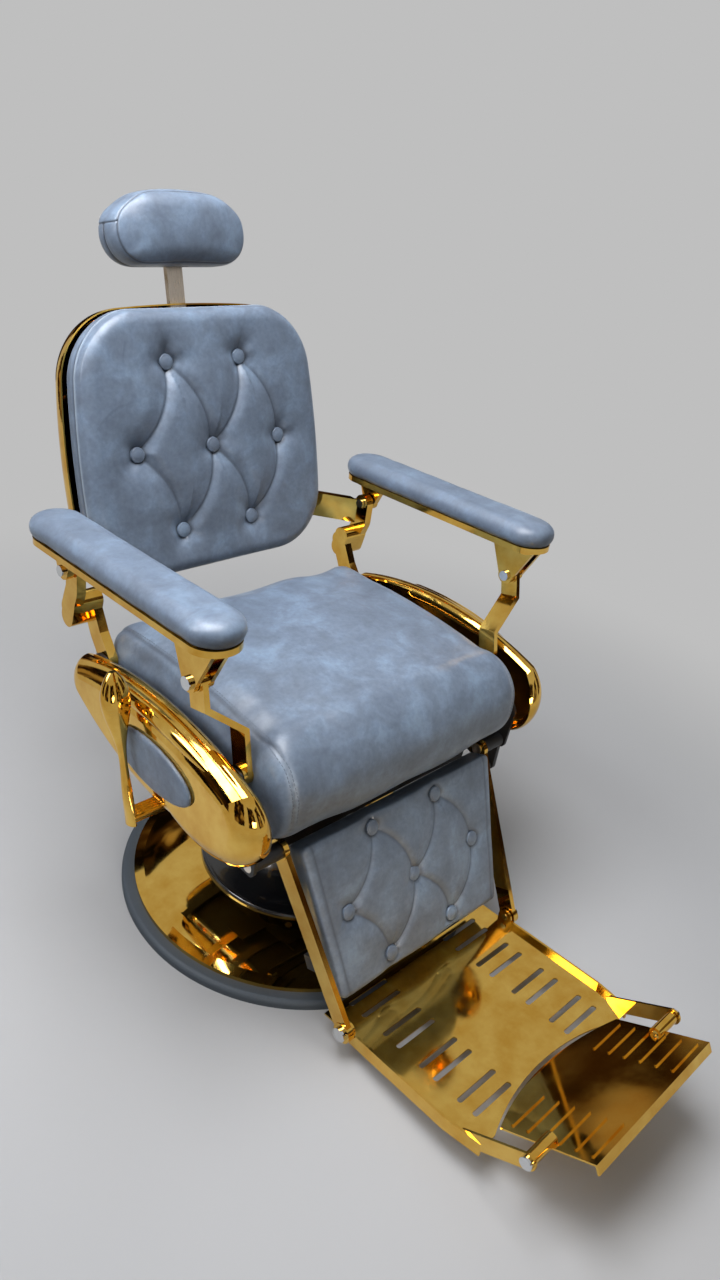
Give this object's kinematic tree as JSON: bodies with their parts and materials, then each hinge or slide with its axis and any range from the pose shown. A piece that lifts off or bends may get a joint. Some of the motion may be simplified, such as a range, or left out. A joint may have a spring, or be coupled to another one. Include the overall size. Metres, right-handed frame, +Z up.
{
  "type": "hydraulic barber chair",
  "caption": "Reclining barber chair with tufted backrest, pump lift on a round base, linked arms, buttoned legrest, hinged footplate and sliding headrest.",
  "frame": {"origin": "on the floor at the centre of the round base", "axes": "+Z up along the lift, the sitter faces -Y, the sitter's right hand is on the -X side"},
  "size_m": [0.7719, 1.3047, 1.1177],
  "materials": {
    "plating": "mirror-polished gold plating",
    "plated_casting": "cast aluminium with mirror-polished gold plating",
    "enamel": "gloss black enamel",
    "cast_base": "black painted cast iron",
    "ring_rubber": "moulded dark grey rubber",
    "steel": "brushed steel",
    "chrome": "polished chrome",
    "seal": "nitrile rubber",
    "leather": "mottled grey-blue upholstery leather over foam",
    "board": "black stained plywood",
    "frame_paint": "black painted steel",
    "bronze": "sintered bronze"
  },
  "bodies": {
    "base": {"base_plate": "cast_base", "base_rubber_ring": "ring_rubber", "base_cover": "plating", "pump_bell": "enamel", "pump_cylinder": "frame_paint", "flange_bolts": "steel", "cylinder_gland": "steel"},
    "piston": {"piston_seal": "seal", "piston_rod": "steel"},
    "seat": {"swivel_head": "enamel", "mounting_plate": "frame_paint", "frame_bolts": "steel", "seat_frame": "frame_paint", "seat_board": "board", "seat_cushion": "leather", "side_panel_right": "plated_casting", "side_panel_left": "plated_casting", "side_inlay_right": "leather", "side_inlay_left": "leather", "side_bracket": "frame_paint", "pivot_pins": "chrome", "leg_axle": "steel", "pump_head": "frame_paint", "lever_bush": "bronze"},
    "lever": {"lever_bar": "plated_casting", "lever_handle": "plated_casting"},
    "backrest": {"back_cushion": "leather", "back_buttons": "leather", "back_shell": "plated_casting", "back_board": "board", "back_standoffs": "steel", "bar_guide": "frame_paint", "rear_post_right": "plated_casting", "rear_post_left": "plated_casting", "back_bracket": "plated_casting"},
    "headrest_stem": {"headrest_bar": "steel"},
    "headrest": {"headrest_pin": "steel", "headrest_board": "board", "headrest_cushion": "leather", "headrest_back_pad": "leather"},
    "arm_right": {"arm_pad_right": "leather", "arm_rail_right": "plated_casting", "arm_bolts_right": "chrome"},
    "arm_left": {"arm_pad_left": "leather", "arm_rail_left": "plated_casting", "arm_bolts_left": "chrome"},
    "link_right": {"front_link_right": "plated_casting"},
    "link_left": {"front_link_left": "plated_casting"},
    "push_rod": {"push_link": "frame_paint"},
    "legrest": {"leg_hubs": "frame_paint", "leg_rail": "plated_casting", "leg_pad": "leather", "leg_buttons": "leather", "leg_board": "board", "leg_straps": "frame_paint", "foot_hinge_bolts": "chrome"},
    "footrest": {"foot_plate": "plated_casting", "tread_bolts": "chrome"},
    "tread": {"tread_plate": "plated_casting"}
  },
  "joints": [
    {"name": "lift", "type": "slide", "parent": "base", "child": "piston", "axis": [0, 0, 1], "range_m": [0, 0.15]},
    {"name": "swivel", "type": "hinge", "parent": "piston", "child": "seat", "pos_m": [0, 0, 0.28], "axis": [0, 0, 1], "continuous": true},
    {"name": "pump_lever", "type": "hinge", "parent": "seat", "child": "lever", "pos_m": [-0.3, 0, 0.312], "axis": [-1, 0, 0], "range_deg": [-20, 25]},
    {"name": "back_recline", "type": "hinge", "parent": "seat", "child": "backrest", "pos_m": [0, 0.222, 0.441], "axis": [-1, 0, 0], "range_deg": [0, 30]},
    {"name": "headrest_height", "type": "slide", "parent": "backrest", "child": "headrest_stem", "axis": [0, 0.2689, 0.9632], "range_m": [-0.02, 0.08]},
    {"name": "headrest_tilt", "type": "hinge", "parent": "headrest_stem", "child": "headrest", "pos_m": [0, 0.51151, 1.05033], "axis": [-1, 0, 0], "range_deg": [-15, 15]},
    {"name": "arm_right_pivot", "type": "hinge", "parent": "backrest", "child": "arm_right", "pos_m": [-0.325, 0.262, 0.598], "axis": [-1, 0, 0], "range_deg": [-30, 0]},
    {"name": "arm_left_pivot", "type": "hinge", "parent": "backrest", "child": "arm_left", "pos_m": [0.325, 0.262, 0.598], "axis": [-1, 0, 0], "range_deg": [-30, 0]},
    {"name": "link_right_pivot", "type": "hinge", "parent": "seat", "child": "link_right", "pos_m": [-0.278, -0.135, 0.441], "axis": [-1, 0, 0], "range_deg": [0, 30]},
    {"name": "link_left_pivot", "type": "hinge", "parent": "seat", "child": "link_left", "pos_m": [0.278, -0.135, 0.441], "axis": [-1, 0, 0], "range_deg": [0, 30]},
    {"name": "push_rod_pivot", "type": "hinge", "parent": "backrest", "child": "push_rod", "pos_m": [0.273, 0.222, 0.386], "axis": [-1, 0, 0], "range_deg": [-30, 0]},
    {"name": "legrest_raise", "type": "hinge", "parent": "seat", "child": "legrest", "pos_m": [0, -0.185, 0.311], "axis": [-1, 0, 0], "range_deg": [0, 30]},
    {"name": "footrest_tilt", "type": "hinge", "parent": "legrest", "child": "footrest", "pos_m": [0, -0.35, 0.05], "axis": [-1, 0, 0], "range_deg": [0, 12]},
    {"name": "tread_flip", "type": "hinge", "parent": "footrest", "child": "tread", "pos_m": [0, -0.679, 0.118], "axis": [-1, 0, 0], "range_deg": [0, 145]}
  ],
  "couplings": [
    {"joint": "arm_right_pivot", "follows": "back_recline", "ratio": -1},
    {"joint": "arm_left_pivot", "follows": "back_recline", "ratio": -1},
    {"joint": "link_right_pivot", "follows": "back_recline", "ratio": 1},
    {"joint": "link_left_pivot", "follows": "back_recline", "ratio": 1},
    {"joint": "push_rod_pivot", "follows": "back_recline", "ratio": -1},
    {"joint": "legrest_raise", "follows": "back_recline", "ratio": 1}
  ]
}
